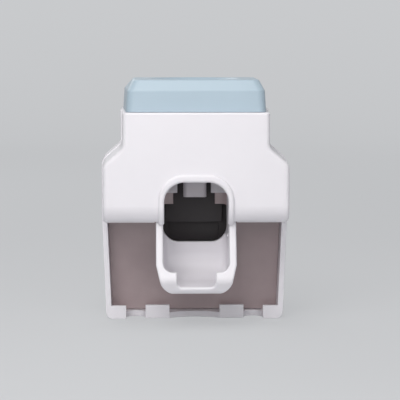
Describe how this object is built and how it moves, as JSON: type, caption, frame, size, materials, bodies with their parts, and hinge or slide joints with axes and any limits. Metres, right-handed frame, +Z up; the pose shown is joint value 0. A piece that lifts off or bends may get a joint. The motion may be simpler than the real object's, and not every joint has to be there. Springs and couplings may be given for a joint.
{
  "type": "toothpaste dispenser",
  "caption": "Wall-hung toothpaste dispenser: a push cup under an arched cover works a paste pump, below a dished cap, above a toothbrush rack.",
  "frame": {"origin": "centre of the adhesive pad's back face, on the wall", "axes": "+X to the right as seen from the room, +Y into the wall, +Z up"},
  "size_m": [0.0814, 0.0601, 0.1062],
  "materials": {
    "white_plastic": "satin moulded",
    "blue_plastic": "satin moulded",
    "smoked_plastic": "polished",
    "charcoal_plastic": "fine grain",
    "grey_plastic": "satin moulded",
    "bearing_plastic": "smooth",
    "silicone": "smooth",
    "steel": "drawn",
    "foam": "foam tape"
  },
  "bodies": {
    "wall_mount": {"adhesive_pad": "foam", "wall_bracket": "charcoal_plastic"},
    "housing": {"rear_frame": "white_plastic", "smoked_panel": "smoked_plastic", "back_plate": "charcoal_plastic", "front_cover": "white_plastic", "pump_chassis": "white_plastic", "inlet_sleeve": "silicone", "inlet_seal": "silicone", "pump_bulb": "silicone", "outlet_valve": "silicone", "outlet_nozzle": "grey_plastic", "guide_rods": "steel", "hinge_pin": "steel", "pin_clips": "steel", "return_springs": "steel", "lever_bumpers": "silicone", "plate_screws": "steel", "cover_screws": "steel", "chassis_screws": "steel"},
    "push_lever": {"push_cup": "white_plastic", "pivot_bushes": "bearing_plastic"},
    "presser": {"presser_plate": "bearing_plastic"},
    "flap": {"inlet_flap": "silicone"},
    "cap": {"top_cap": "blue_plastic", "cap_seal": "silicone"}
  },
  "joints": [
    {"name": "lift_off", "type": "slide", "parent": "wall_mount", "child": "housing", "axis": [0, 0, 1], "range_m": [0, 0.032]},
    {"name": "cap_lift", "type": "slide", "parent": "housing", "child": "cap", "axis": [0, 0, 1], "range_m": [0, 0.03]},
    {"name": "lever_press", "type": "hinge", "parent": "housing", "child": "push_lever", "pos_m": [0, -0.044, 0.0305], "axis": [1, 0, 0], "range_deg": [0, 8], "stiffness_Nm_per_rad": 0.6, "springref_deg": -11.06, "deforming": ["return_springs"]},
    {"name": "presser_slide", "type": "slide", "parent": "housing", "child": "presser", "axis": [0, 1, 0], "range_m": [0, 0.0025], "deforming": ["pump_bulb"]},
    {"name": "flap_open", "type": "hinge", "parent": "housing", "child": "flap", "pos_m": [0, -0.0222, 0.02935], "axis": [1, 0, 0], "range_deg": [0, 25], "stiffness_Nm_per_rad": 0.0001, "springref_deg": -28.65}
  ],
  "couplings": [
    {"joint": "presser_slide", "follows": "lever_press", "m_per_rad": 0.0175}
  ]
}
